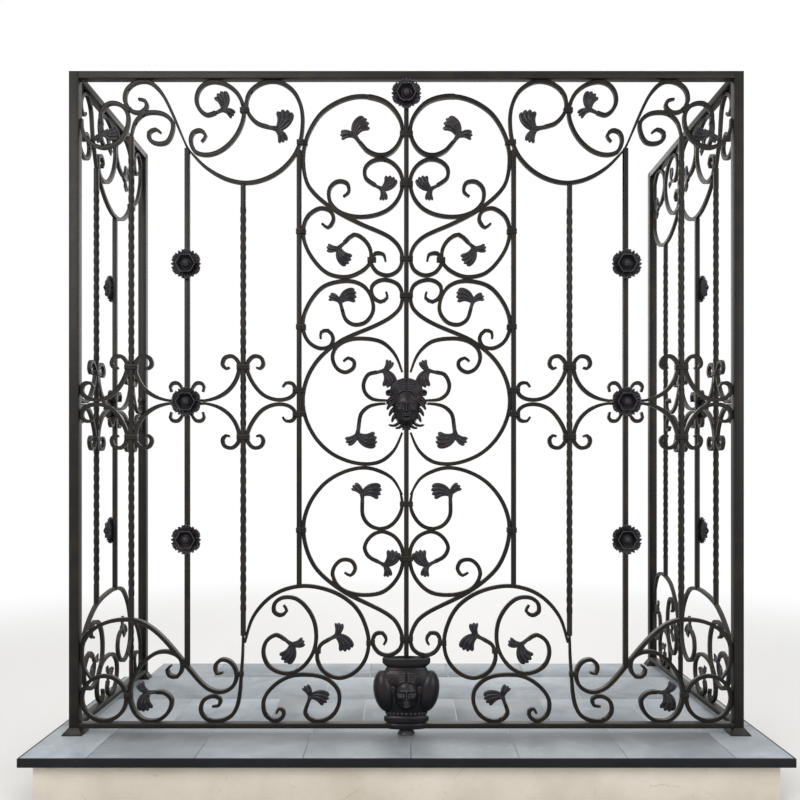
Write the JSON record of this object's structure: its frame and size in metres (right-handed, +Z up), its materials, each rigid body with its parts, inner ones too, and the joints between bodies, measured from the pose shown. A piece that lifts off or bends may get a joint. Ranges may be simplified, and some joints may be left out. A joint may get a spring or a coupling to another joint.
{
  "type": "juliet balcony",
  "caption": "Floor-to-ceiling wrought iron balcony cage with scrollwork, twisted bars, rosettes, a mask and an urn, on a low stone-topped slab.",
  "frame": {"origin": "centre of the slab's underside, in the middle of the whole object's outline", "axes": "+X to the right seen from the street, -Y to the street, +Y to the wall, +Z up"},
  "size_m": [2.99, 1.495, 2.972],
  "materials": {
    "render": "matte rendered masonry",
    "stone": "honed stone slabs",
    "iron": "satin black paint",
    "castings": "satin black paint with a worn brown tone"
  },
  "bodies": {
    "root": {"slab_body": "render", "stone_floor": "stone", "edge_trim": "iron", "front_posts": "iron", "rear_posts": "iron", "post_feet": "iron", "centre_foot": "castings", "front_top_rail": "iron", "front_bottom_rail": "iron", "side_top_rails": "iron", "side_bottom_rails": "iron", "centre_bar": "iron", "plain_bars": "iron", "rosette_bars": "iron", "twisted_bars": "iron", "top_scrolls": "iron", "heart_scrolls": "iron", "band_scrolls": "iron", "mask_scrolls": "iron", "ring_scrolls": "iron", "arch_scrolls": "iron", "base_scrolls": "iron", "upper_leaves": "castings", "lower_leaves": "castings", "rosettes": "castings", "front_collars": "iron", "mask": "castings", "urn": "castings", "left_bars": "iron", "left_twisted_bars": "iron", "left_scrolls": "iron", "left_leaves": "castings", "left_rosettes": "castings", "right_bars": "iron", "right_twisted_bars": "iron", "right_scrolls": "iron", "right_leaves": "castings", "right_rosettes": "castings", "side_collars": "iron"}
  },
  "joints": []
}
